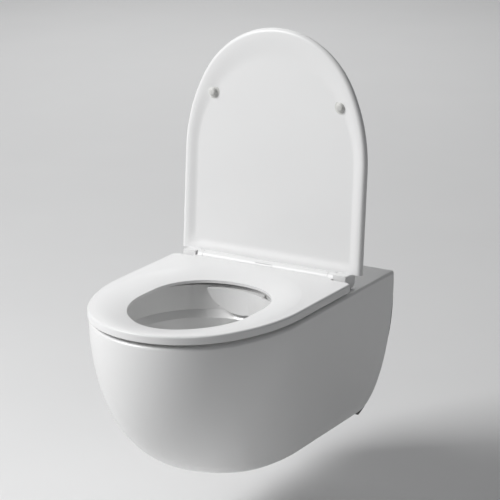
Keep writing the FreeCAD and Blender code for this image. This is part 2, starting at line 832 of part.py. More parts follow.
def build_visor():
    """Curved shield that hangs from the rim in front of the flush outlet."""
    low = rim_z - d.visor_drop
    high = rim_z - d.visor_top_gap
    inside = d.visor_bend - d.visor_thickness
    middle = (Size.of(0), -d.visor_centre, low)
    front_face = cylinder("visor_front", inside, d.visor_drop + CUT_PAST, *middle)
    rear_face = cylinder("visor_rear", d.visor_bend, high - low, *middle)
    curve = cylinder("visor_curve", d.visor_radius, d.visor_reach - d.visor_rear,
                     Size.of(0), -d.visor_reach, rim_z + d.visor_rise, "Y")
    sheet = cut("visor_sheet", rear_face, [front_face])
    shield = doc.addObject("Part::MultiCommon", "visor_shield")
    shield.Shapes = [sheet, curve]
    half = d.visor_radius - d.visor_roof_inset
    roof_low = rim_z - d.chamber_roof
    roof = box("visor_roof_block", half * 2, d.visor_roof_reach - d.visor_rear,
               high - roof_low, -half, -d.visor_roof_reach, roof_low)
    inner = cylinder("visor_roof_face", inside, d.visor_drop + CUT_PAST, *middle)
    return fuse("visor", [shield, cut("visor_roof", roof, [inner])])


def on_rim(edge):
    """True for the rim's outer edges, apart from the one along the wall."""
    bounds = edge.BoundBox
    height = rim_z.value
    if abs(bounds.ZMin - height) > 0.01 or abs(bounds.ZMax - height) > 0.01:
        return False
    middle = edge.valueAt((edge.FirstParameter + edge.LastParameter) / 2)
    beside = abs(middle.x) > (d.bowl_half_width + d.bowl_wall).value
    before = middle.y < -(d.bowl_centre + d.bowl_front + d.bowl_wall / 2).value
    from_wall = -bounds.YMin - d.pad_thickness.value
    return (beside or before) and from_wall > CUT_PAST


# ---------------------------------------------------------------- wall side
PAD_BEND = (0.62, 0.72)  # where its side bends: share of the depth, and of the overhang


def build_wall_pad():
    """Sound insulating sheet between the pan and the wall."""
    body = new_body("wall_pad")
    outline = new_sketch(body, "pad_outline", "XZ_Plane", Size.of(0))
    half = d.half_width - d.pan_reveal - d.pad_inset
    foot = rim_z - d.pan_depth + d.pad_inset
    top = rim_z - d.pad_inset
    bend = rim_z - d.pan_depth * PAD_BEND[0]
    knee = d.foot_half_width + (half - d.foot_half_width) * PAD_BEND[1]
    foot_half = d.foot_half_width + d.pad_foot_margin
    shoulder = top - d.pad_shoulder
    draw_loop(
        outline,
        [(half, top), (-half, top), (-half, shoulder), (-knee, bend), (-foot_half, foot),
         (foot_half, foot), (knee, bend), (half, shoulder)],
        {2: (d.pad_upper_bend, CCW), 3: (d.pad_lower_bend, CCW), 5: (d.pad_lower_bend, CCW),
         6: (d.pad_upper_bend, CCW)})
    draw_circle(
        outline, Size.of(0), rim_z - d.inlet_drop, d.inlet_radius + d.pad_inlet_gap)
    draw_circle(
        outline, Size.of(0), rim_z - d.outlet_drop, d.outlet_radius + d.pad_outlet_gap)
    for side in (-1, 1):
        centre = d.fixing_spacing / 2 * side
        draw_rectangle(outline, centre - d.pad_window, -d.pad_window_low,
                       centre + d.pad_window, d.prong_rise + d.pad_window_high)
    pad(body, "sheet", outline, d.pad_thickness)
    return node("wall_pad", body)


def hexagon(name, radius, height, x, y, z):
    """A six sided prism, such as a nut or the socket in a screw's head."""
    item = doc.addObject("Part::Prism", name)
    item.Polygon = 6
    item.setExpression("Circumradius", Size.of(radius).text)
    item.setExpression("Height", Size.of(height).text)
    place(item, x, y, z)
    return item


def build_bracket(side, suffix):
    """Steel bracket: a plate on the wall stud and a round prong that the pan hangs on."""
    x = d.fixing_spacing / 2 * side
    plate = box(f"bracket_plate_{suffix}", d.bracket_width, d.bracket_plate, d.bracket_height,
                x - d.bracket_width / 2, -d.bracket_plate, -d.bracket_drop)
    reach = d.web_front + d.prong_overhang
    prong = cylinder(f"bracket_prong_{suffix}", d.prong_radius, reach,
                     x, -reach, d.prong_rise, "Y")
    hole = cylinder(f"bracket_stud_hole_{suffix}", d.stud_hole_radius, d.bracket_plate + 2,
                    x, -d.bracket_plate - 1, Size.of(0), "Y")
    cross_low = d.prong_rise - d.prong_radius - CUT_PAST
    cross = cylinder(f"bracket_cross_hole_{suffix}", d.cross_screw_radius,
                     (d.prong_radius + CUT_PAST) * 2, x, cross_y, cross_low)
    whole = fuse(f"bracket_body_{suffix}", [plate, prong])
    return node(f"fixing_bracket_{suffix}", cut(f"bracket_{suffix}", whole, [hole, cross]))


def build_cross_screw(side, suffix):
    """Screw through the prong that holds the pan's web against the wall."""
    x = d.fixing_spacing / 2 * side
    foot = d.prong_rise - d.prong_radius - d.cross_tail
    shank = cylinder(f"cross_shank_{suffix}", d.cross_screw_radius,
                     d.cross_tail + d.prong_radius * 2 + d.cross_point, x, cross_y, foot)
    head = cylinder(f"cross_head_{suffix}", d.cross_screw_radius + d.cross_head_step,
                    d.cross_head, x, cross_y, foot - d.cross_head)
    socket = hexagon(f"cross_socket_{suffix}", (d.cross_screw_radius + d.cross_head_step) * SOCKET_SHARE,
                     d.cross_head - 1, x, cross_y, foot - d.cross_head - 1)
    whole = fuse(f"cross_body_{suffix}", [shank, head])
    return node(f"cross_screw_{suffix}", cut(f"cross_{suffix}", whole, [socket]))


# ---------------------------------------------------------------- seat
def forward(offset):
    """The y of a place some way in front of the hinge axis."""
    return axis_y - offset


def stepped_d(half_width, length, straight, nose, along_bar, beside_bar, corner):
    """Plan outline whose rear edge steps forward beside the bar and has rounded corners."""
    side, meet_x, meet_y = shoulder_of(half_width, length - straight, nose)
    meet_y = -(straight + meet_y)
    points = [
        (ear_inner, along_bar), (ear_inner, beside_bar), (half_width - corner, beside_bar),
        (half_width, beside_bar - corner), (half_width, -straight), (meet_x, meet_y),
        (-meet_x, meet_y), (-half_width, -straight), (-half_width, beside_bar - corner),
        (-half_width + corner, beside_bar), (-ear_inner, beside_bar), (-ear_inner, along_bar),
    ]
    arcs = {2: (corner, CW), 4: (side, CW), 5: (nose, CW), 6: (side, CW), 8: (corner, CW)}
    return points, arcs


def opening_oval(sketch, grow):
    draw_loop(sketch, *long_oval(
        d.opening_half_width, d.opening_side_front, d.opening_side_rear,
        d.opening_front, d.opening_front_radius, d.opening_rear, d.opening_rear_radius, grow))


DISH_SHARES = (1.0, 0.75, 0.5, 0.25, 0.0)
DISH_POWER = 1.5   # how the dish deepens towards the opening
KNUCKLE_ROOT = 3   # how far the knuckles run into the seat


def build_seat():
    body = new_body("seat")
    outline = new_sketch(body, "seat_outline", "XY_Plane", seat_bottom_z)
    draw_loop(outline, *stepped_d(
        d.half_width, d.projection, d.straight_side, nose_radius,
        forward(d.seat_rear_offset), forward(d.seat_ear_offset), d.seat_corner_radius))
    pad(body, "seat_plate", outline, d.seat_thickness)
    opening = new_sketch(body, "seat_opening_outline", "XY_Plane", seat_top_z)
    opening_oval(opening, Size.of(0))
    pocket(body, "seat_opening", opening, d.seat_thickness + 1)
    sketches = []
    for number, share in enumerate(DISH_SHARES):
        sketch = new_sketch(body, f"dish_{number}", "XY_Plane",
                            seat_top_z - d.dish_depth * (1 - share) ** DISH_POWER)
        opening_oval(sketch, d.dish_width * share)
        sketches.append(sketch)
    loft(body, "seat_dish", sketches, subtract=True)

    # hinge knuckles, with their bushes' bores
    for side, suffix in SIDES:
        start = knuckle_inner if side == 1 else -knuckle_outer
        knuckle = new_sketch(body, f"knuckle_{suffix}", "YZ_Plane", start)
        low = axis_z - d.knuckle_low
        high = axis_z + d.knuckle_high
        half = (d.barrel_radius ** 2 - d.knuckle_low ** 2) ** 0.5
        reach = (d.barrel_radius ** 2 - d.knuckle_high ** 2) ** 0.5
        inside = forward(d.seat_rear_offset + KNUCKLE_ROOT)
        draw_loop(
            knuckle,
            [(inside, low), (axis_y - half, low), (axis_y + d.barrel_radius, axis_z),
             (axis_y - reach, high), (inside, high)],
            {1: (d.barrel_radius, CCW), 2: (d.barrel_radius, CCW)})
        pad(body, f"seat_knuckle_{suffix}", knuckle, d.knuckle_width)
        bore = new_sketch(body, f"knuckle_bore_{suffix}", "YZ_Plane", start)
        radius = d.bush_radius if side == -1 else d.pin_radius
        draw_circle(bore, axis_y, axis_z, radius)
        pocket(body, f"seat_bore_{suffix}", bore, d.knuckle_width, reverse=True)
    doc.recompute()
    upper = edges_where(body.Shape, lambda edge: on_outer_side(edge, seat_top_z.value))
    fillet(body, "seat_top_edge", body.Tip, upper, d.seat_edge_radius)
    doc.recompute()
    lower = edges_where(body.Shape, lambda edge: on_outer_side(edge, seat_bottom_z.value))
    fillet(body, "seat_bottom_edge", body.Tip, lower, d.seat_foot_radius)
    return node("seat", body)


def on_outer_side(edge, height):
    """True for level edges along the sides and front of a plate at a height."""
    bounds = edge.BoundBox
    if abs(bounds.ZMin - height) > 0.01 or abs(bounds.ZMax - height) > 0.01:
        return False
    middle = edge.valueAt((edge.FirstParameter + edge.LastParameter) / 2)
    rear = forward(d.seat_ear_offset + d.button_gap).value
    beside = abs(middle.x) > (d.half_width - d.rear_buffer_inset).value and middle.y < rear
    before = middle.y < -(d.projection - d.front_buffer_inset).value
    return beside or before


# ---------------------------------------------------------------- lid
def lid_outline(sketch, inset, rear):
    half_width = d.half_width + d.lid_overhang - inset
    length = d.projection + d.lid_front_overhang - inset
    nose = nose_radius + d.lid_overhang - inset
    draw_loop(sketch, *d_outline(half_width, length, d.straight_side, nose, -rear))


def build_lid():
    """Modelled closed, then opened about the hinge axis."""
    body = new_body("lid")
    rear = forward(d.lid_rear_offset)
    faces = []
    levels = (("under", lid_bottom_z, d.lid_taper), ("top", lid_top_z, Size.of(0)))
    for name, height, inset in levels:
        sketch = new_sketch(body, f"lid_{name}_outline", "XY_Plane", height)
        lid_outline(sketch, inset, rear)
        faces.append(sketch)
    loft(body, "lid_plate", faces, ruled=True)

    # ears that turn on the hinge pins beside the seat's knuckles
    ear_round = lid_top_z - axis_z - d.ear_back
    width = ear_outer - ear_inner
    root = forward(d.ear_root)
    for side, suffix in SIDES:
        start = ear_inner if side == 1 else -ear_outer
        ear = new_sketch(body, f"ear_{suffix}", "YZ_Plane", start)
        draw_loop(
            ear,
            [(forward(d.ear_front), lid_bottom_z), (forward(d.ear_chin), axis_z - d.ear_radius),
             (axis_y, axis_z - d.ear_radius), (axis_y + d.ear_radius, axis_z),
             (axis_y + d.ear_radius, axis_z + d.ear_back),
             (axis_y + d.ear_radius - ear_round, lid_top_z), (root, lid_top_z),
             (root, lid_bottom_z)],
            {2: (d.ear_radius, CCW), 4: (ear_round, CCW)})
        pad(body, f"lid_ear_{suffix}", ear, width)
        bore_start = ear_inner if side == 1 else -ear_bore_end
        bore = new_sketch(body, f"ear_bore_{suffix}", "YZ_Plane", bore_start)
        draw_circle(bore, axis_y, axis_z, d.pin_radius if side == -1 else d.bush_radius)
        pocket(body, f"lid_bore_{suffix}", bore, ear_bore_end - ear_inner, reverse=True)

    # shallow field in the underside
    field = []
    edge = d.lid_taper + d.field_inset
    for number in (0, 1):
        sketch = new_sketch(
            body, f"field_{number}", "XY_Plane", lid_bottom_z + d.field_depth * number)
        lid_outline(sketch, edge + d.field_slope * number,
                    forward(d.field_rear_offset + d.field_slope * number))
        field.append(sketch)
    loft(body, "lid_field", field, subtract=True, ruled=True)
    doc.recompute()
    top = edges_where(body.Shape, lambda edge: on_outer_side(edge, lid_top_z.value))
    fillet(body, "lid_top_edge", body.Tip, top, d.lid_edge_radius)
    open_up(body)
    return node("lid", body)


def open_up(item):
    """Turn something modelled with the lid closed to where it stands with the lid open."""
    turn = Rotation(Vector(-1, 0, 0), SIZES["open_angle"])
    centre = Vector(0, axis_y.value, axis_z.value)
    item.Placement = Placement(centre - turn.multVec(centre), turn).multiply(item.Placement)


# ---------------------------------------------------------------- hinge bar
def bar_profile(sketch, inset, foot):
    """Side view of the hinge housing: a barrel round the axis with a shoulder behind it."""
    radius = d.barrel_radius - inset
    back = axis_y + d.bar_back - inset
    shoulder = axis_z + d.bar_shoulder - inset
    turn_off = (radius ** 2 - (d.bar_shoulder - inset) ** 2) ** 0.5
    slope = d.bar_wall / 2
    draw_loop(
        sketch,
        [(forward(radius), foot), (forward(radius), axis_z), (axis_y, axis_z + radius),
         (axis_y + turn_off, shoulder), (back, shoulder - slope), (back, foot)],
        {1: (radius, CW), 2: (radius, CW)})


def bar_slice(body, name, inset, foot, start, length, subtract=False):
    sketch = new_sketch(body, name + "_outline", "YZ_Plane", start)
    bar_profile(sketch, inset, foot)
    if subtract:
        return pocket(body, name, sketch, length, reverse=True)
    return pad(body, name, sketch, length)


def build_hinge_bar():
    body = new_body("hinge_bar")
    half = d.bar_half_length
    foot = rim_z + d.gasket_thickness
    bar_slice(body, "housing", Size.of(0), foot, -half, half * 2)
    inner = half - d.bar_wall
    bar_slice(body, "hollow", d.bar_wall, foot - CUT_PAST, -inner, inner * 2, subtract=True)
    for side, suffix in SIDES:
        for number, distance in enumerate((d.cradle_far, d.cradle_near)):
            near = inner - distance
            start = near if side == 1 else -near - d.cradle_thickness
            bar_slice(body, f"cradle_{suffix}_{number}", d.bar_wall, rim_z + d.cradle_rise,
                      start, d.cradle_thickness)
        start = inner - d.damper_length if side == 1 else -inner
        seat_bore = new_sketch(body, f"damper_seat_{suffix}_ring", "YZ_Plane", start)
        draw_circle(seat_bore, axis_y, axis_z, d.damper_radius)
        pocket(body, f"damper_seat_{suffix}", seat_bore, d.damper_length, reverse=True)
        end = new_sketch(body, f"shaft_hole_{suffix}_ring", "YZ_Plane", half * side)
        draw_circle(end, axis_y, axis_z, d.pin_radius + d.button_gap)
        pocket(body, f"shaft_hole_{suffix}", end, d.bar_wall + 1, reverse=side == -1)
    window = new_sketch(body, "button_window", "XZ_Plane", -axis_y)
    reach = d.button_width / 2 + d.button_gap
    draw_rectangle(window, -reach, button_low - d.button_gap,
                   reach, button_high + d.button_top_gap)
    pocket(body, "window", window, d.barrel_radius + 1, reverse=True)
    return node("hinge_bar", body)


POST_GAP = 0.2  # between a post and the holes and notches round it


def build_bar_base():
    """Plate that closes the housing from below and rests on the posts' flanges."""
    inner = d.bar_half_length - d.bar_wall
    front = forward(d.barrel_radius - d.bar_wall)
    back = axis_y + d.bar_back - d.bar_wall
    low = rim_z + d.gasket_thickness + d.flange_thickness
    plate = box("bar_base_plate", inner * 2, back - front, d.bar_base_thickness, -inner, front, low)
    holes = [
        cylinder(f"bar_base_hole_{suffix}", d.post_radius + POST_GAP,
                 d.bar_base_thickness + 2, post_x * side, post_y, low - 1)
        for side, suffix in SIDES]
    return node("hinge_bar_base", cut("bar_base", plate, holes))


# ---------------------------------------------------------------- dampers and bushes
def along_x(name, radius, inner, outer, side):
    """A cylinder about the hinge axis between two distances from the middle."""
    start = inner if side == 1 else -outer
    return cylinder(name, radius, outer - inner, start, axis_y, axis_z, "X")


def build_damper(side, name):
    outer = d.bar_half_length - d.bar_wall
    inner = outer - d.damper_length
    socket = inner + d.damper_core
    running = d.pin_radius + d.pin_clearance
    shell = along_x(f"{name}_shell", d.damper_radius, inner, outer, side)
    bore = along_x(f"{name}_bore", running, socket, outer + 1, side)
    node(name, cut(f"{name}_body", shell, [bore]))
    start = socket + d.button_gap
    node(f"{name}_shaft", along_x(f"{name}_rod", d.pin_radius, start, shaft_end, side))


def build_bush(side, name, inner, outer):
    running = d.pin_radius + d.pin_clearance
    shell = along_x(f"{name}_shell", d.bush_radius, inner, outer, side)
    bore = along_x(f"{name}_bore", running, inner - 1, outer + 1, side)
    return node(name, cut(f"{name}_ring", shell, [bore]))


# ---------------------------------------------------------------- quick release
def build_button():
    """Push button in the front of the bar, with a slanted slot for each latch's pin."""
    body = new_body("release_button")
    half = d.button_width / 2
    outline = new_sketch(body, "button_side", "YZ_Plane", -half)
    low_front = (d.barrel_radius ** 2 - (axis_z - button_low) ** 2) ** 0.5
    high_front = (d.barrel_radius ** 2 - (button_high - axis_z) ** 2) ** 0.5
    back = axis_y + d.button_back
    step = forward(d.button_step)
    step_top = axis_z + d.button_step_rise
    draw_loop(
        outline,
        [(back, button_low), (forward(low_front), button_low), (forward(d.barrel_radius), axis_z),
         (forward(high_front), button_high), (step, button_high), (step, step_top),
         (back, step_top)],
        {1: (d.barrel_radius, CW), 2: (d.barrel_radius, CW)})
    pad(body, "button_block", outline, d.button_width)
    slots = new_sketch(body, "pin_slots", "XY_Plane", button_low)
    ratio = d.latch_travel / d.button_travel
    wide = d.latch_pin_radius + d.slot_gap
    for side in (-1, 1):
        reach = wide * (1 + ratio ** 2) ** 0.5
        front_run = d.button_travel + d.slot_end_gap + wide
        rear_run = wide + d.slot_end_gap
        front_x = (d.latch_pin_x - ratio * front_run) * side
        rear_x = (d.latch_pin_x + ratio * rear_run) * side
        draw_loop(slots, [
            (front_x - reach, pin_y - front_run), (front_x + reach, pin_y - front_run),
            (rear_x + reach, pin_y + rear_run), (rear_x - reach, pin_y + rear_run)])
    pocket(body, "slots", slots, d.slot_depth, reverse=True)
    return node("release_button", body)


def build_latch(side, suffix):
    """Sliding plate whose hollow end grips the post's neck."""
    low = rim_z + d.latch_height
    inner = d.latch_inner
    notch_x = (post_x + d.latch_travel) * side
    outer = post_x - d.neck_radius + d.latch_bite
    start = inner * side if side == 1 else -outer
    plate = box(f"latch_plate_{suffix}", outer - inner, d.latch_width, d.latch_thickness,
                start, post_y - d.latch_width / 2, low)
    notch = cylinder(f"latch_notch_{suffix}", d.post_radius + POST_GAP, d.latch_thickness + 2,
                     notch_x, post_y, low - 1)
    pin = cylinder(f"latch_pin_{suffix}", d.latch_pin_radius, d.latch_thickness + d.latch_pin_rise,
                   d.latch_pin_x * side, pin_y, low)
    trimmed = cut(f"latch_trimmed_{suffix}", plate, [notch])
    return node(f"latch_{suffix}", fuse(f"latch_body_{suffix}", [trimmed, pin]))


def build_spring():
    """Coil between the button's back and the rear of the housing."""
    body = new_body("return_spring")
    start = axis_y + d.button_back
    end = axis_y + d.bar_back - d.bar_wall
    sketch = new_sketch(body, "spring_wire", "XY_Plane")
    draw_circle(sketch, d.spring_radius, d.spring_wire, d.spring_wire)
    helix = body.newObject("PartDesign::AdditiveHelix", "spring_coil")
    helix.Profile = sketch
    helix.ReferenceAxis = (sketch, ["V_Axis"])
    helix.Mode = 0
    helix.setExpression("Pitch", d.spring_pitch.text)
    helix.setExpression("Height", (end - start - d.spring_wire * 2).text)
    place(body, Size.of(0), start, spring_z)
    return node("return_spring", body)


# ---------------------------------------------------------------- posts and dowels
def ring(name, outer, hole, height, x, low):
    """A round piece at a post's place with the screw's hole through it."""
    disc = cylinder(f"{name}_disc", outer, height, x, post_y, low)
    bore = cylinder(f"{name}_hole", hole, height + 2, x, post_y, low - 1)
    return cut(name, disc, [bore])


def build_post(side, suffix):
    """Chromed post for the hinge bar, with its gasket, screw, rubber dowel and nut."""
    x = post_x * side
    flange_low = rim_z + d.gasket_thickness
    shank_low = flange_low + d.flange_thickness
    neck_low = rim_z + d.latch_height - POST_GAP
    neck_high = rim_z + d.latch_height + d.latch_thickness + POST_GAP
    top = rim_z + d.post_height
    bore_low = rim_z + d.post_bore_floor
    loose = d.screw_radius + d.screw_gap
    turned = (
        ("flange", d.flange_radius, flange_low, shank_low),
        ("foot", d.post_radius, shank_low, neck_low),
        ("neck", d.neck_radius, neck_low, neck_high),
        ("head", d.post_radius, neck_high, top),
    )
    pieces = [cylinder(f"post_{name}_{suffix}", radius, high - low, x, post_y, low)
              for name, radius, low, high in turned]
    holes = [
        cylinder(f"post_bore_{suffix}", d.post_bore_radius, top - bore_low + 1,
                 x, post_y, bore_low),
        cylinder(f"post_hole_{suffix}", loose, bore_low - rim_z + 1, x, post_y, rim_z),
    ]
    blank = fuse(f"post_blank_{suffix}", pieces)
    node(f"post_{suffix}", cut(f"post_turned_{suffix}", blank, holes))
    node(f"post_gasket_{suffix}",
         ring(f"gasket_{suffix}", d.flange_radius, loose, d.gasket_thickness, x, rim_z))
    node(f"rubber_dowel_{suffix}",
         ring(f"dowel_{suffix}", d.dowel_radius, loose, d.dowel_length,
              x, rim_z - d.dowel_length))

    shank = cylinder(f"screw_shank_{suffix}", d.screw_radius, d.screw_length,
                     x, post_y, bore_low - d.screw_length)
    head = cylinder(f"screw_head_{suffix}", d.screw_head_radius, d.screw_head,
                    x, post_y, bore_low)
    socket = hexagon(f"screw_socket_{suffix}", d.screw_head_radius * SOCKET_SHARE,
                     d.screw_head, x, post_y, bore_low + 1)
    screw = fuse(f"screw_blank_{suffix}", [shank, head])
    node(f"post_screw_{suffix}", cut(f"screw_{suffix}", screw, [socket]))

    nut_low = rim_z - d.dowel_length - d.nut_height
    nut = hexagon(f"nut_blank_{suffix}", d.nut_radius, d.nut_height, x, post_y, nut_low)
    nut_hole = cylinder(f"nut_hole_{suffix}", d.screw_radius, d.nut_height + 2,
                        x, post_y, nut_low - 1)
    node(f"dowel_nut_{suffix}", cut(f"nut_{suffix}", nut, [nut_hole]))


# ---------------------------------------------------------------- buffers
def build_seat_buffers():
    low = rim_z + d.buffer_clearance
    front = -(d.projection - d.front_buffer_inset)
    rear_x = d.half_width - d.rear_buffer_inset
    rows = (("front", d.front_buffer_x, front), ("rear", rear_x, -d.rear_buffer_y))
    for row, x, y in rows:
        for side, suffix in SIDES:
            block = cylinder(f"seat_foot_{row}_{suffix}", d.seat_buffer_radius,
                             seat_bottom_z - low, x * side, y, low)
            node(f"seat_buffer_{row}_{suffix}", soften(f"seat_pad_{row}_{suffix}", block))


def build_lid_buffers():
    low = seat_top_z + d.buffer_clearance
    x = d.half_width - d.lid_buffer_inset
    y = -(d.projection - d.lid_buffer_setback)
    for side, suffix in SIDES:
        block = cylinder(f"lid_foot_{suffix}", d.lid_buffer_radius, lid_bottom_z - low,
                         x * side, y, low)
        carried = doc.addObject("Part::Compound", f"lid_buffer_{suffix}_open")
        carried.Links = [soften(f"lid_pad_{suffix}", block)]
        open_up(carried)
        node(f"lid_buffer_{suffix}", carried)


def soften(name, block):
    """Round the lower edge of a cylinder."""
    doc.recompute()
    low = block.Shape.BoundBox.ZMin
    edges = [number for number, edge in enumerate(block.Shape.Edges, start=1)
             if abs(edge.BoundBox.ZMax - low) < 0.01]
    item = doc.addObject("Part::Fillet", name)
    item.Base = block
    radius = d.buffer_edge_radius.value
    item.Edges = [(number, radius, radius) for number in edges]
    return item


# ---------------------------------------------------------------- the assembly
build_pan()
build_wall_pad()
for side, suffix in SIDES:
    build_bracket(side, suffix)
    build_cross_screw(side, suffix)
    build_post(side, suffix)
    build_latch(side, suffix)
build_seat()
build_lid()
build_hinge_bar()
build_bar_base()
build_damper(-1, "lid_damper")
build_damper(1, "seat_damper")
build_bush(-1, "seat_bush", knuckle_inner, knuckle_outer)
build_bush(1, "lid_bush", ear_inner, ear_bore_end)
build_button()
build_spring()
build_seat_buffers()
build_lid_buffers()
doc.recompute()

faults = []
for item in doc.Objects:
    if "Up-to-date" not in item.State:
        faults.append(f"{item.Name}: {item.State}")
    if item.isDerivedFrom("PartDesign::Feature") or item in NODES.values():
        if item.Shape.isNull() or not item.Shape.isValid():
            faults.append(f"{item.Name}: no valid shape")
if faults:
    raise RuntimeError("; ".join(faults))

os.makedirs("parts", exist_ok=True)
for name, item in NODES.items():
    item.Shape.exportStep(f"parts/{name}.step")
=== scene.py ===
"""Looks, stage, light and camera for the wall hung toilet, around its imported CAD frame.

Metres, in the frame's own axes: +Z up, -Y towards the user, the wall on Y = 0.
"""
import json
import math

import bmesh
import bpy
from mathutils import Matrix, Vector


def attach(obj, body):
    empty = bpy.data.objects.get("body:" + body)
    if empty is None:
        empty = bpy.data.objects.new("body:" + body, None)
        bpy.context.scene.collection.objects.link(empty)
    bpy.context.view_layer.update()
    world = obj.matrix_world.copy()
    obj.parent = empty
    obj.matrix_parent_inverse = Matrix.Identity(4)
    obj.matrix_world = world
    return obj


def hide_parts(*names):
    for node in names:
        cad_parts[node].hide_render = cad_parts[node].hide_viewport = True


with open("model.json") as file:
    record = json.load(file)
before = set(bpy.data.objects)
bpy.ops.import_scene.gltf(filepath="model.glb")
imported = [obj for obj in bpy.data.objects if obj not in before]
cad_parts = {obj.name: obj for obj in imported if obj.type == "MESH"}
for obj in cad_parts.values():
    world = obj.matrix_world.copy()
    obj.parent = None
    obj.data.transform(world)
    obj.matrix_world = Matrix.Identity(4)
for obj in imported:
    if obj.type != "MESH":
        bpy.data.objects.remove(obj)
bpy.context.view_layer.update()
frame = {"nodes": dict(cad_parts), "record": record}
nodes = frame["nodes"]

RIM_Z = 0.080
FLOOR_Z = RIM_Z - 0.4145


# ---------------------------------------------------------------- materials
RAMP_SPAN = (0.3, 0.7)    # the part of a noise signal over which colours blend


def new_material(name):
    """A node material, its tree and its shader."""
    material = bpy.data.materials.new(name)
    material.use_nodes = True
    tree = material.node_tree
    shader = tree.nodes["Principled BSDF"]
    return material, tree, shader


def noise(tree, scale, detail):
    """Noise in the object's own coordinates."""
    place = tree.nodes.new("ShaderNodeTexCoord")
    texture = tree.nodes.new("ShaderNodeTexNoise")
    texture.inputs["Scale"].default_value = scale
    texture.inputs["Detail"].default_value = detail
    tree.links.new(place.outputs["Object"], texture.inputs["Vector"])
    return texture


def spread(tree, source, low, high):
    """Map a 0 to 1 signal to a range."""
    mapping = tree.nodes.new("ShaderNodeMapRange")
    mapping.inputs["To Min"].default_value = low
    mapping.inputs["To Max"].default_value = high
    tree.links.new(source, mapping.inputs["Value"])
    return mapping.outputs["Result"]


def ramp(tree, source, dark, light):
    """Blend of two colours by a signal."""
    blend = tree.nodes.new("ShaderNodeValToRGB")
    for element, position, colour in zip(blend.color_ramp.elements, RAMP_SPAN, (dark, light)):
        element.position = position
        element.color = (*colour, 1)
    tree.links.new(source, blend.inputs["Fac"])
    return blend.outputs["Color"]


def bump(tree, shader, source, strength, distance):
    """Fine relief on the shader's normal."""
    node = tree.nodes.new("ShaderNodeBump")
    node.inputs["Strength"].default_value = strength
    node.inputs["Distance"].default_value = distance
    tree.links.new(source, node.inputs["Height"])
    tree.links.new(node.outputs["Normal"], shader.inputs["Normal"])


def glazed_china():
    """White vitreous china: an uneven body under a smooth clear glaze."""
    material, tree, shader = new_material("glazed_china")
    tone = noise(tree, 7.0, 2.0)
    colour = ramp(tree, tone.outputs["Fac"], (0.828, 0.828, 0.824), (0.84, 0.84, 0.838))
    tree.links.new(colour, shader.inputs["Base Color"])
    mottle = noise(tree, 30.0, 2.0)
    tree.links.new(spread(tree, mottle.outputs["Fac"], 0.27, 0.30), shader.inputs["Roughness"])
    ripple = noise(tree, 10.0, 1.0)
    bump(tree, shader, ripple.outputs["Fac"], 0.02, 0.0003)
    shader.inputs["IOR"].default_value = 1.5
    shader.inputs["Coat Weight"].default_value = 0.25
    shader.inputs["Coat Roughness"].default_value = 0.08
    return material


def duroplast(name, light=0.84):
    """Pressed white thermoset, polished, with a faint orange peel."""
    material, tree, shader = new_material(name)
    tone = noise(tree, 9.0, 2.0)
    colour = ramp(tree, tone.outputs["Fac"], (light - 0.008,) * 3, (light, light, light - 0.002))
    tree.links.new(colour, shader.inputs["Base Color"])
    mottle = noise(tree, 55.0, 2.0)
    tree.links.new(spread(tree, mottle.outputs["Fac"], 0.36, 0.40), shader.inputs["Roughness"])
    peel = noise(tree, 380.0, 1.0)
    bump(tree, shader, peel.outputs["Fac"], 0.03, 0.0001)
    shader.inputs["IOR"].default_value = 1.46
    return material


def moulded(name, dark, light, rough_low, rough_high, grain=900.0):
    """Moulded plastic or rubber with a fine grain."""
    material, tree, shader = new_material(name)
    tone = noise(tree, 40.0, 3.0)
    tree.links.new(ramp(tree, tone.outputs["Fac"], dark, light), shader.inputs["Base Color"])
    mottle = noise(tree, 200.0, 2.0)
    tree.links.new(
        spread(tree, mottle.outputs["Fac"], rough_low, rough_high), shader.inputs["Roughness"])
    texture = noise(tree, grain, 2.0)
    bump(tree, shader, texture.outputs["Fac"], 0.2, 0.0001)
    return material


LINE_STRETCH = (1, 1, 30)


def metal(name, dark, light, rough_low, rough_high):
    """Metal with fine lines left by machining."""
    material, tree, shader = new_material(name)
    place = tree.nodes.new("ShaderNodeTexCoord")
    scaling = tree.nodes.new("ShaderNodeMapping")
    scaling.inputs["Scale"].default_value = LINE_STRETCH
    lines = tree.nodes.new("ShaderNodeTexNoise")
    lines.inputs["Scale"].default_value = 60.0
    tree.links.new(place.outputs["Object"], scaling.inputs["Vector"])
    tree.links.new(scaling.outputs["Vector"], lines.inputs["Vector"])
    tree.links.new(ramp(tree, lines.outputs["Fac"], dark, light), shader.inputs["Base Color"])
    tree.links.new(
        spread(tree, lines.outputs["Fac"], rough_low, rough_high), shader.inputs["Roughness"])
    bump(tree, shader, lines.outputs["Fac"], 0.1, 0.0001)
    shader.inputs["Metallic"].default_value = 1.0
    return material


SLOT_MATERIALS = {
    "china": glazed_china(),
    "duroplast": duroplast("white_duroplast"),
    # The button plastic is the same white duroplast made darker: its lower lightness is painted
    # shade that tones down the key light falling on it.
    "button_plastic": duroplast("button_white_painted_shade", 0.80),
    "grey_plastic": moulded("grey_acetal", (0.30, 0.31, 0.32), (0.36, 0.37, 0.38), 0.45, 0.60),
    "clear_silicone": moulded("silicone", (0.60, 0.60, 0.58), (0.68, 0.68, 0.66), 0.35, 0.50),
    "soft_rubber": moulded("black_rubber", (0.015, 0.015, 0.016), (0.03, 0.03, 0.03), 0.6, 0.8),
    # The foam pad is a real sound-insulating sheet, but its dark grey is painted shade: it
    # stands in for the shadow in the seam between the pan and the wall.
    "foam": moulded("foam_pad_painted_seam_shade", (0.15, 0.15, 0.15), (0.19, 0.19, 0.19), 0.8, 0.95, 500.0),
    "zinc_steel": metal("zinc_plate", (0.42, 0.43, 0.45), (0.60, 0.61, 0.62), 0.3, 0.5),
    "stainless": metal("stainless", (0.50, 0.50, 0.50), (0.64, 0.64, 0.64), 0.22, 0.36),
    "spring_steel": metal("spring_wire", (0.38, 0.38, 0.40), (0.52, 0.52, 0.53), 0.25, 0.4),
}


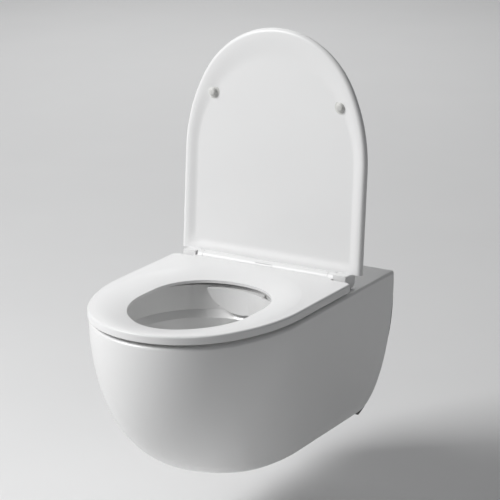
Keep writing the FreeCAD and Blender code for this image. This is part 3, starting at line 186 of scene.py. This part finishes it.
def dress_nodes():
    """Give every CAD node the material of its slot."""
    slots = {entry["node"]: entry["material_slot"] for entry in frame["record"]["subparts"]}
    for name, piece in nodes.items():
        piece.data.materials.clear()
        piece.data.materials.append(SLOT_MATERIALS[slots[name]])


dress_nodes()


# ---------------------------------------------------------------- lid and its buffers
# Both are drawn with the lid closed, then opened about the hinge axis.
AXIS = Vector((0, -0.134, RIM_Z + 0.016))
OPEN_ANGLE = math.radians(95.5)
LID_LOW = RIM_Z + 0.0228
LID_HIGH = LID_LOW + 0.0105
LID_HALF = 0.1813
LID_LENGTH = 0.545
LID_REAR = AXIS.y - 0.0096
LID_STRAIGHT = 0.320      # where its sides start to curve, from the wall
NOSE_EASE = 0.015         # half width less the radius of the nose
LID_TAPER = 0.007         # how far the edge draws in from the back to the inside
LID_ROUND = 0.003         # radius of the back's edge
LIP_WIDTH = 0.0012        # flat lip between the edge and the dish
DISH_SIDE = 0.020         # width of the slope of the dished inside, at the sides
DISH_FRONT = 0.046
DISH_REAR = 0.020
DISH_DEPTH = 0.0045
EAR_INNER = 0.1392
EAR_OUTER = 0.1655
EAR_END_ROUND = 0.0025
EAR_RADIUS = 0.0135
EAR_ROOT = LID_REAR - 0.0012
EAR_NECK = 0.0107         # its front face ahead of the axis, at the lid
EAR_CHIN = 0.0098         # and at its bottom
EAR_SHOULDER = 0.009      # above the axis, where its back starts to round over
BUFFER_X = 0.127
BUFFER_Y = -0.424
BUFFER_LOW = RIM_Z + 0.0203
SIDE_STEPS = 10           # points along each part of the lid's outline
FLANK_STEPS = 12
NOSE_STEPS = 48
BACK_STEPS = 16
ROUND_STEPS = 6           # rings round the back's edge, the side and the dish
EDGE_STEPS = 10
DISH_STEPS = 8
EAR_STEPS = 10            # points round an ear, over its shoulder, and rings at its end
SHOULDER_STEPS = 8
EAR_END_STEPS = 5
DOME_POINTS = 32


def open_lid(point):
    """Where a point of the closed lid is when the lid stands open."""
    return AXIS + Matrix.Rotation(OPEN_ANGLE, 3, (-1, 0, 0)) @ (Vector(point) - AXIS)


def steps(start, end, count):
    """Evenly spaced numbers from start up to, but not with, end."""
    return [start + (end - start) * number / count for number in range(count)]


def lid_ring(inset, front_inset, rear, height):
    """The lid's plan outline as a ring of points; every ring has equally many."""
    half = LID_HALF - inset
    length = LID_LENGTH - front_inset
    nose = half - NOSE_EASE
    lead = length - LID_STRAIGHT - nose
    side = (half ** 2 + lead ** 2 - nose ** 2) / (2 * (half - nose))
    turn = math.atan2(lead, side - half)
    right = [(half, y) for y in steps(rear, -LID_STRAIGHT, SIDE_STEPS)]
    right += [(half - side + side * math.cos(t), -LID_STRAIGHT - side * math.sin(t))
              for t in steps(0, turn, FLANK_STEPS)]
    front = [(nose * math.cos(t), nose - length - nose * math.sin(t))
             for t in steps(turn, math.pi - turn, NOSE_STEPS)]
    front.append((-nose * math.cos(turn), nose - length - nose * math.sin(turn)))
    left = [(-x, y) for x, y in reversed(right)]
    back = [(x, rear) for x in steps(-half, half, BACK_STEPS)[1:]]
    return [open_lid((x, y, height)) for x, y in right + front + left + back]


def ring_mesh(name, rings, angle=math.radians(35)):
    """A closed skin through rings of equally many points, capped at both ends."""
    count = len(rings[0])
    points = [point for ring in rings for point in ring]
    faces = [tuple(reversed(range(count)))]
    for number in range(len(rings) - 1):
        low = number * count
        for i in range(count):
            j = (i + 1) % count
            faces.append((low + i, low + j, low + count + j, low + count + i))
    faces.append(tuple(range(len(points) - count, len(points))))
    return solid_piece(name, points, faces, angle)


def solid_piece(name, points, faces, angle):
    """An object with outward faces, smooth but for edges sharper than the angle."""
    mesh = bpy.data.meshes.new(name)
    mesh.from_pydata(points, [], faces)
    shape = bmesh.new()
    shape.from_mesh(mesh)
    bmesh.ops.recalc_face_normals(shape, faces=shape.faces)
    shape.to_mesh(mesh)
    shape.free()
    mesh.polygons.foreach_set("use_smooth", [True] * len(mesh.polygons))
    mesh.set_sharp_from_angle(angle=angle)
    piece = bpy.data.objects.new(name, mesh)
    bpy.context.scene.collection.objects.link(piece)
    return piece


def lid_rings():
    """From the flat back, round its edge and the sides, to the dished inside."""
    rings = []
    for t in steps(0, math.pi / 2, ROUND_STEPS) + [math.pi / 2]:
        inset = LID_ROUND * (1 - math.sin(t))
        rings.append(lid_ring(inset, inset, LID_REAR, LID_HIGH - LID_ROUND * (1 - math.cos(t))))
    tall = LID_HIGH - LID_ROUND - LID_LOW
    for t in steps(math.pi / 2, 0, EDGE_STEPS)[1:] + [0]:
        inset = LID_TAPER * (1 - math.sin(t))
        rings.append(lid_ring(inset, inset, LID_REAR, LID_LOW + tall * (1 - math.cos(t))))
    lip = LID_TAPER + LIP_WIDTH
    for number in range(DISH_STEPS + 1):
        share = number / DISH_STEPS
        rise = share * share * (3 - 2 * share)
        rings.append(lid_ring(
            lip + DISH_SIDE * share, lip + DISH_FRONT * share,
            LID_REAR - LIP_WIDTH - DISH_REAR * share, LID_LOW + DISH_DEPTH * rise))
    return rings


def ear_rings(side):
    """An ear that turns on the hinge pin, drawn from its side view."""
    bottom = AXIS.z - EAR_RADIUS
    back = AXIS.y + EAR_RADIUS
    shoulder = AXIS.z + EAR_SHOULDER
    bend = LID_HIGH - shoulder
    outline = [(AXIS.y - EAR_NECK, LID_LOW), (AXIS.y - EAR_CHIN, bottom)]
    outline += [(AXIS.y + EAR_RADIUS * math.sin(t), AXIS.z - EAR_RADIUS * math.cos(t))
                for t in steps(0, math.pi / 2, EAR_STEPS)]
    outline += [(back, AXIS.z)]
    outline += [(back - bend + bend * math.cos(t), shoulder + bend * math.sin(t))
                for t in steps(0, math.pi / 2, SHOULDER_STEPS)]
    outline += [(back - bend, LID_HIGH), (EAR_ROOT, LID_HIGH), (EAR_ROOT, LID_LOW)]
    rings = [[open_lid((EAR_INNER * side, y, z)) for y, z in outline]]
    middle_y = (outline[1][0] + back) / 2
    for t in steps(0, math.pi / 2, EAR_END_STEPS) + [math.pi / 2]:
        x = EAR_OUTER - EAR_END_ROUND * (1 - math.sin(t))
        share = 1 - EAR_END_ROUND * (1 - math.cos(t)) / EAR_RADIUS
        rings.append([
            open_lid((x * side, middle_y + (y - middle_y) * share,
                      LID_HIGH + (z - LID_HIGH) * share)) for y, z in outline])
    return rings


def buffer_rings(side):
    """Soft dome on a low flared foot, from radii and their distances from the foot."""
    foot = LID_LOW + DISH_DEPTH
    tall = foot - BUFFER_LOW
    profile = [(0.0120, 0.0002), (0.0100, 0.0004), (0.0085, 0.0010), (0.0076, 0.0018),
               (0.0070, tall * 0.62), (0.0062, tall * 0.84), (0.0045, tall * 0.96),
               (0.0020, tall)]
    rings = []
    for radius, rise in profile:
        rings.append([
            open_lid((BUFFER_X * side + radius * math.cos(t), BUFFER_Y + radius * math.sin(t),
                      foot - rise)) for t in steps(0, 2 * math.pi, DOME_POINTS)])
    return rings


def join(name, pieces):
    """One object from several."""
    first = pieces[0]
    with bpy.context.temp_override(active_object=first, selected_editable_objects=pieces):
        bpy.ops.object.join()
    first.name = name
    return first


def build_lid():
    """The lid with its ears, and its two buffers, in place of the plain solids."""
    plate = ring_mesh("lid_plate", lid_rings())
    ears = [ring_mesh(f"lid_ear_{number}", ear_rings(side))
            for number, side in enumerate((-1, 1))]
    lid = join("lid_shell", [plate] + ears)
    lid.data.materials.append(SLOT_MATERIALS["duroplast"])
    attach(lid, "lid")
    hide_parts("lid")
    for side, suffix in ((-1, "left"), (1, "right")):
        dome = ring_mesh(f"lid_buffer_dome_{suffix}", buffer_rings(side), math.radians(60))
        dome.data.materials.append(SLOT_MATERIALS["clear_silicone"])
        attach(dome, "lid")
        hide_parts(f"lid_buffer_{suffix}")


build_lid()


# ---------------------------------------------------------------- flush shield's right end
# The glazed shield in front of the flush outlet runs on to the bowl's wall.
SHIELD_CENTRE_Y = -0.335   # plan centre of the shield's hollow face
SHIELD_FACE = 0.112        # its plan radius
SHIELD_FROM = 0.018        # where the run starts, from the middle
SHIELD_LEAVE = 0.046       # where it leaves the shield for the wall
SHIELD_END = (0.0945, -0.2493)
SHIELD_LIFT = 0.0006       # how far it comes to stand off the shield
SHIELD_THICKNESS = 0.004
SHIELD_TOP = RIM_Z - 0.0025
SHIELD_FOOT = RIM_Z - 0.044
SHIELD_FOOT_ROUND = 0.0015
RUN_STEPS = 8
BEND_STEPS = 16
FOOT_STEPS = 8


def on_shield(x, lift):
    """A point of the shield's face in plan, lifted off it."""
    radius = SHIELD_FACE - lift
    return Vector((x, SHIELD_CENTRE_Y + math.sqrt(radius ** 2 - x ** 2)))


def shield_plan():
    """The face in plan: along the shield, then a curve on to the bowl's wall."""
    face = [on_shield(x, SHIELD_LIFT * number / RUN_STEPS)
            for number, x in enumerate(steps(SHIELD_FROM, SHIELD_LEAVE, RUN_STEPS))]
    start = on_shield(SHIELD_LEAVE, SHIELD_LIFT)
    end = Vector(SHIELD_END)
    heading = Vector((start.y - SHIELD_CENTRE_Y, -start.x)).normalized()
    bend = start + heading * (end - start).length * 0.5
    for number in range(BEND_STEPS + 1):
        t = number / BEND_STEPS
        face.append(start * (1 - t) ** 2 + bend * 2 * t * (1 - t) + end * t * t)
    return face


def build_shield_end():
    """A thin closed panel, its foot rounded, hugging the shield and the wall."""
    rings = []
    for point in shield_plan():
        back = (point - Vector((0, SHIELD_CENTRE_Y))).normalized() * SHIELD_THICKNESS
        foot = [(SHIELD_THICKNESS / 2 * (1 - math.cos(t)),
                 SHIELD_FOOT - SHIELD_FOOT_ROUND * math.sin(t))
                for t in steps(0, math.pi, FOOT_STEPS)]
        ring = [(point.x, point.y, SHIELD_TOP)]
        for depth, height in foot + [(SHIELD_THICKNESS, SHIELD_FOOT)]:
            share = depth / SHIELD_THICKNESS
            ring.append((point.x + back.x * share, point.y + back.y * share, height))
        ring.append((point.x + back.x, point.y + back.y, SHIELD_TOP))
        rings.append(ring)
    panel = ring_mesh("flush_shield_end", rings)
    panel.data.materials.append(SLOT_MATERIALS["china"])
    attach(panel, "pan")


build_shield_end()


# ---------------------------------------------------------------- stage
FLOOR_REACH = 6.0
FLOOR_DARK = 0.788        # the two ends of its faintly uneven grey
FLOOR_LIGHT = 0.80


def add_floor():
    """A pale, matt floor."""
    mesh = bpy.data.meshes.new("floor")
    corners = [(-FLOOR_REACH, -FLOOR_REACH, FLOOR_Z), (FLOOR_REACH, -FLOOR_REACH, FLOOR_Z),
               (FLOOR_REACH, FLOOR_REACH, FLOOR_Z), (-FLOOR_REACH, FLOOR_REACH, FLOOR_Z)]
    mesh.from_pydata(corners, [], [(0, 1, 2, 3)])
    piece = bpy.data.objects.new("floor", mesh)
    bpy.context.scene.collection.objects.link(piece)
    material, tree, shader = new_material("floor_paint")
    tone = noise(tree, 3.0, 4.0)
    colour = ramp(tree, tone.outputs["Fac"], (FLOOR_DARK,) * 3, (FLOOR_LIGHT,) * 3)
    tree.links.new(colour, shader.inputs["Base Color"])
    shader.inputs["Roughness"].default_value = 0.85
    piece.data.materials.append(material)


add_floor()


# ---------------------------------------------------------------- light
def area_light(name, place, target, size, power):
    """A square soft light of a size in metres and a power in watts, turned to a target."""
    light = bpy.data.lights.new(name, "AREA")
    light.energy = power
    light.size = size
    lamp = bpy.data.objects.new(name, light)
    lamp.location = place
    lamp.rotation_euler = (Vector(target) - Vector(place)).to_track_quat("-Z", "Y").to_euler()
    bpy.context.scene.collection.objects.link(lamp)


area_light("key", (-1.9, -2.1, 2.4), (0, -0.3, 0.1), 1.5, 117)
area_light("overhead", (0.4, 1.0, 3.6), (0.2, 0.6, 0), 4.0, 22)
area_light("backdrop", (-2.6, 3.2, 2.4), (-2.2, 3.0, FLOOR_Z), 2.6, 52)

world = bpy.data.worlds.new("studio")
world.use_nodes = True
world.node_tree.nodes["Background"].inputs["Color"].default_value = (0.95, 0.97, 1.0, 1)
world.node_tree.nodes["Background"].inputs["Strength"].default_value = 0.10
bpy.context.scene.world = world
bpy.context.scene.view_settings.view_transform = "Standard"


# ---------------------------------------------------------------- camera
CAMERA_AIM = (0.05073, -0.265, RIM_Z + 0.0891)
CAMERA_DISTANCE = 3.5
CAMERA_AZIMUTH = math.radians(32.66)
CAMERA_ELEVATION = math.radians(17.15)
CAMERA_ROLL = math.radians(-1.02)
FOCAL_PIXELS = 2119.05
PHOTO_WIDTH = 500.0
SENSOR_WIDTH = 36.0
CLIP_END = 50


def add_camera():
    """The camera that the photograph's outline fits."""
    level = math.cos(CAMERA_ELEVATION)
    back = Vector((math.sin(CAMERA_AZIMUTH) * level, -math.cos(CAMERA_AZIMUTH) * level,
                   math.sin(CAMERA_ELEVATION)))
    side = Vector((math.cos(CAMERA_AZIMUTH), math.sin(CAMERA_AZIMUTH), 0))
    up = back.cross(side)
    right = side * math.cos(CAMERA_ROLL) + up * math.sin(CAMERA_ROLL)
    above = up * math.cos(CAMERA_ROLL) - side * math.sin(CAMERA_ROLL)
    lens = bpy.data.cameras.new("camera")
    lens.sensor_width = SENSOR_WIDTH
    lens.lens = FOCAL_PIXELS / PHOTO_WIDTH * SENSOR_WIDTH
    lens.clip_end = CLIP_END
    camera = bpy.data.objects.new("camera", lens)
    turn = Matrix((right, above, back)).transposed().to_4x4()
    camera.matrix_world = Matrix.Translation(
        Vector(CAMERA_AIM) + back * CAMERA_DISTANCE) @ turn
    bpy.context.scene.collection.objects.link(camera)
    bpy.context.scene.camera = camera


add_camera()
